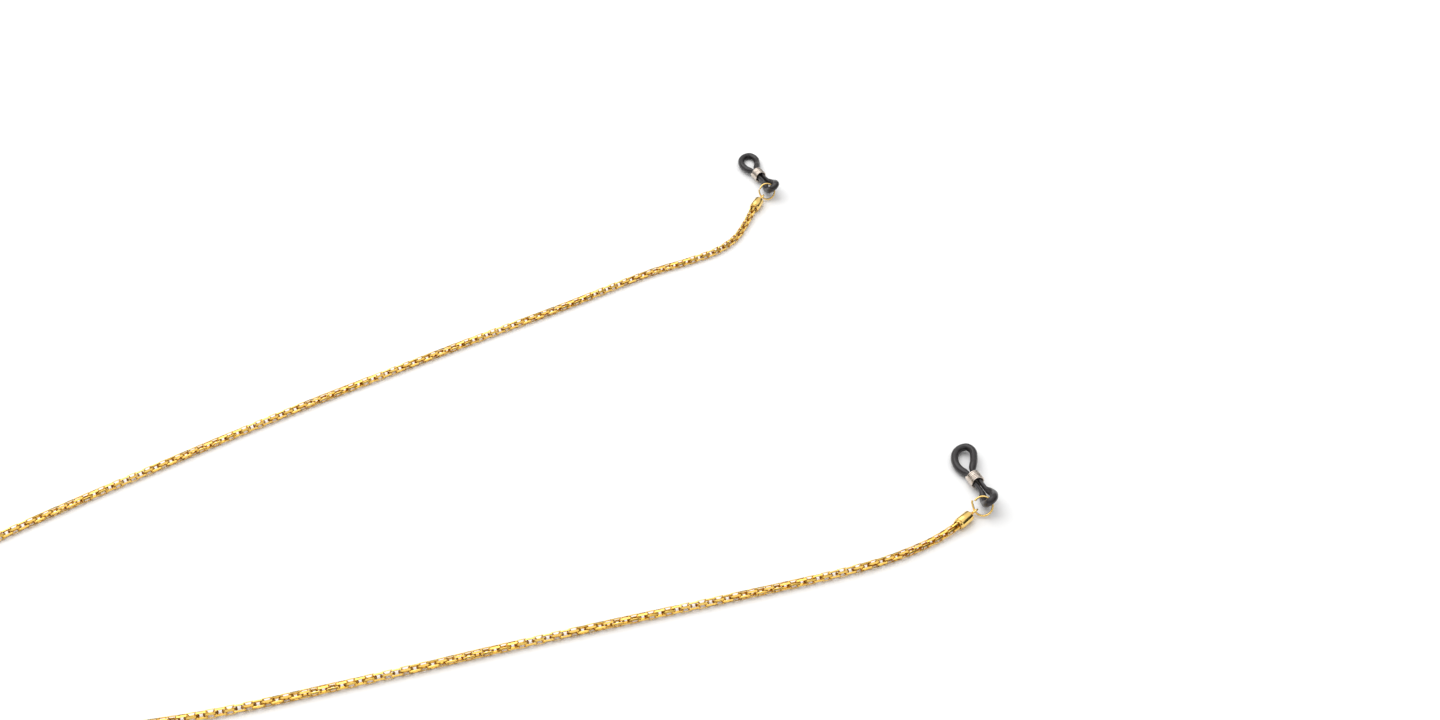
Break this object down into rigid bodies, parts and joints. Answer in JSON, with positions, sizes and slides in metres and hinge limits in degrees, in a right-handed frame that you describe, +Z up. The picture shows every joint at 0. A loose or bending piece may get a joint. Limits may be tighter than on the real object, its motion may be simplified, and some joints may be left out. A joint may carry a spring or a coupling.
{
  "type": "eyeglass retainer strap",
  "caption": "Gold cage-chain eyeglass strap with capped ends, jump rings, rubber temple loops and coil-spring sliders, lying on a flat surface.",
  "frame": {"origin": "on the surface that the strap lies on, under the middle of the box around the two end assemblies (everything but the chain)", "axes": "+X across the strap, away from the loose middle of the chain; +Y from the right end to the left end, as worn; +Z up from the surface"},
  "size_m": [0.2549, 0.2232, 0.0057],
  "materials": {
    "gold_chain": "polished gold plate on a stamped cage chain",
    "gold_fittings": "polished gold plate",
    "gold_wire": "polished gold plate on round wire",
    "adhesive": "set clear adhesive",
    "rubber_cord": "smooth semi-matt silicone rubber",
    "spring_steel": "nickel-plated spring wire"
  },
  "bodies": {
    "strap": {"chain_run_right": "gold_chain", "chain_run_left": "gold_chain", "chain_coil": "gold_chain", "end_cap_right": "gold_fittings", "end_cap_left": "gold_fittings", "cap_eye_right": "gold_fittings", "cap_eye_left": "gold_fittings", "cap_adhesive_right": "adhesive", "cap_adhesive_left": "adhesive"},
    "jump_ring_right": {"jump_ring_right": "gold_wire"},
    "rubber_loop_right": {"rubber_loop_right": "rubber_cord"},
    "spring_slider_right": {"spring_slider_right": "spring_steel"},
    "jump_ring_left": {"jump_ring_left": "gold_wire"},
    "rubber_loop_left": {"rubber_loop_left": "rubber_cord"},
    "spring_slider_left": {"spring_slider_left": "spring_steel"}
  },
  "joints": [
    {"name": "jump_ring_right_swing", "type": "hinge", "parent": "strap", "child": "jump_ring_right", "pos_m": [0.02396, -0.07456, 0.00131], "axis": [0, 0, 1], "range_deg": [-30, 45]},
    {"name": "rubber_loop_right_swing", "type": "hinge", "parent": "jump_ring_right", "child": "rubber_loop_right", "pos_m": [0.02736, -0.07298, 0.00357], "axis": [0, 0, 1], "range_deg": [-35, 20]},
    {"name": "spring_slider_right_slide", "type": "slide", "parent": "rubber_loop_right", "child": "spring_slider_right", "axis": [-0.3746, 0.9272, 0], "range_m": [-0.0026, 0.0003]},
    {"name": "jump_ring_left_swing", "type": "hinge", "parent": "strap", "child": "jump_ring_left", "pos_m": [-0.02256, 0.05726, 0.00133], "axis": [0, 0, 1], "range_deg": [-40, 40]},
    {"name": "rubber_loop_left_swing", "type": "hinge", "parent": "jump_ring_left", "child": "rubber_loop_left", "pos_m": [-0.01964, 0.05974, 0.00349], "axis": [0, 0, 1], "range_deg": [-45, 25]},
    {"name": "spring_slider_left_slide", "type": "slide", "parent": "rubber_loop_left", "child": "spring_slider_left", "axis": [-0.4695, 0.8829, 0], "range_m": [-0.0026, 0.0003]}
  ]
}
